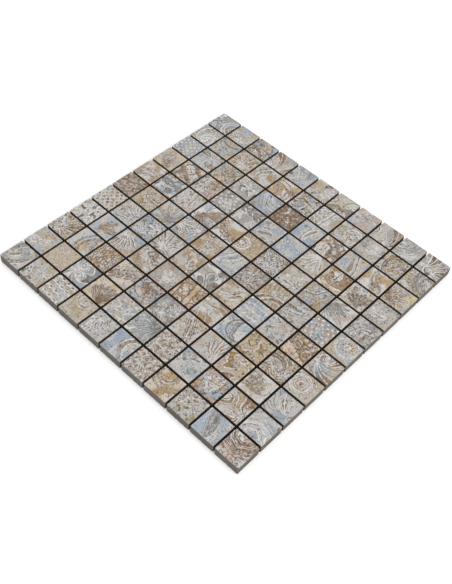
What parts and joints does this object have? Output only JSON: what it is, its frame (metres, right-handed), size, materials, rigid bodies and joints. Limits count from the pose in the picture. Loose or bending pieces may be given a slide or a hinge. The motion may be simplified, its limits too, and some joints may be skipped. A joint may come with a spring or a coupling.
{
  "type": "mosaic tile sheet",
  "caption": "Square sheet of small square porcelain tiles with weathered patchwork ornament, set with open joints on a glass-fibre mesh backing for laying on a wall or floor.",
  "frame": {"origin": "centre of the sheet's back, on the surface that the sheet lies on", "axes": "+Z out of the tiles' printed faces; +X along the rows of tiles and +Y across them, the sheet's two pairs of edges"},
  "size_m": [0.2972, 0.2972, 0.01],
  "materials": {
    "porcelain": "satin",
    "glass_fibre_yarn": "matte"
  },
  "bodies": {
    "root": {"tile_row_01": "porcelain", "tile_row_02": "porcelain", "tile_row_03": "porcelain", "tile_row_04": "porcelain", "tile_row_05": "porcelain", "tile_row_06": "porcelain", "tile_row_07": "porcelain", "tile_row_08": "porcelain", "tile_row_09": "porcelain", "tile_row_10": "porcelain", "tile_row_11": "porcelain", "backing_warp": "glass_fibre_yarn", "backing_weft": "glass_fibre_yarn"}
  },
  "joints": []
}
